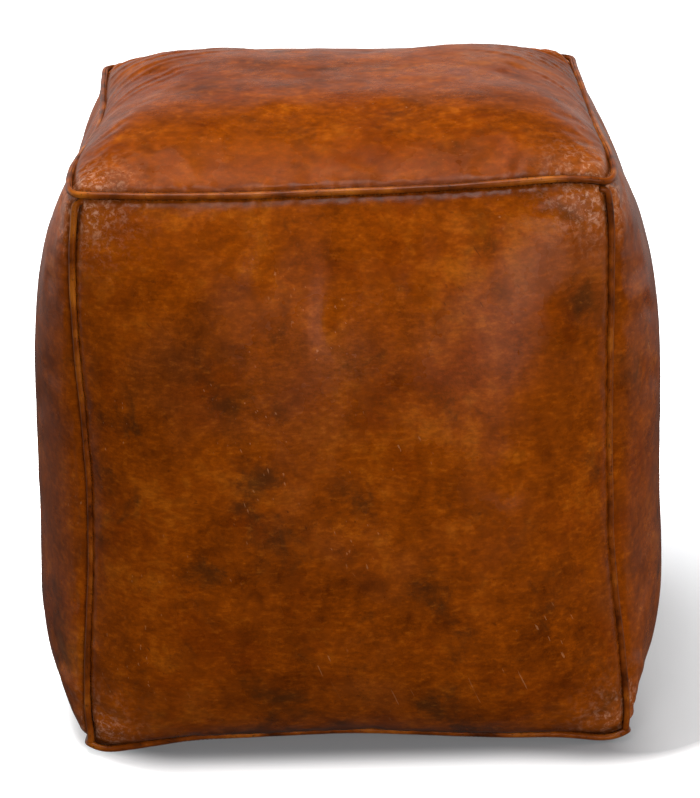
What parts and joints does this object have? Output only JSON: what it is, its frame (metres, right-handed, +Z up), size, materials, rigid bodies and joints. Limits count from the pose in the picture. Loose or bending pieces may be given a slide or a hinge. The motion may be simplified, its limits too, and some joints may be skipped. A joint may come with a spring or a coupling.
{
  "type": "moroccan leather pouf",
  "caption": "Stuffed leather cube pouf with piped seams, bulging sides, a domed top and a zipped base.",
  "frame": {"origin": "on the floor, under the middle of the pouf", "axes": "+Z up, the front faces -Y, +X to its right; the base zip runs along X and closes towards +X"},
  "size_m": [0.4968, 0.4968, 0.474],
  "materials": {
    "panel_leather": "satin",
    "piping_leather": "satin",
    "piping_cord": "matte",
    "seam_thread": "satin",
    "zip_tape": "matte",
    "zip_coil": "satin",
    "zip_metal": "satin",
    "bag_cotton": "matte",
    "filling_fibre": "matte"
  },
  "bodies": {
    "cover": {"top_panel": "panel_leather", "front_panel": "panel_leather", "back_panel": "panel_leather", "left_panel": "panel_leather", "right_panel": "panel_leather", "base_panel_front": "panel_leather", "base_panel_rear": "panel_leather", "top_piping": "piping_leather", "base_piping": "piping_leather", "corner_piping_front_left": "piping_leather", "corner_piping_front_right": "piping_leather", "corner_piping_rear_left": "piping_leather", "corner_piping_rear_right": "piping_leather", "top_piping_cord": "piping_cord", "base_piping_cord": "piping_cord", "corner_cord_front_left": "piping_cord", "corner_cord_front_right": "piping_cord", "corner_cord_rear_left": "piping_cord", "corner_cord_rear_right": "piping_cord", "top_seam_thread": "seam_thread", "base_seam_thread": "seam_thread", "corner_seam_threads": "seam_thread", "zip_tape_front": "zip_tape", "zip_tape_rear": "zip_tape", "zip_coil_front": "zip_coil", "zip_coil_rear": "zip_coil", "zip_top_stops": "zip_metal", "zip_bottom_stop": "zip_metal", "inner_bag": "bag_cotton", "filling": "filling_fibre"},
    "slider": {"zip_slider": "zip_metal"},
    "pull": {"zip_pull": "zip_metal"}
  },
  "joints": [
    {"name": "zip_slide", "type": "slide", "parent": "cover", "child": "slider", "axis": [1, 0, 0], "range_m": [-0.28, 0]},
    {"name": "pull_swing", "type": "hinge", "parent": "slider", "child": "pull", "pos_m": [0.1415, 0, 0.0105], "axis": [0, -1, 0], "range_deg": [-14, 157]}
  ]
}
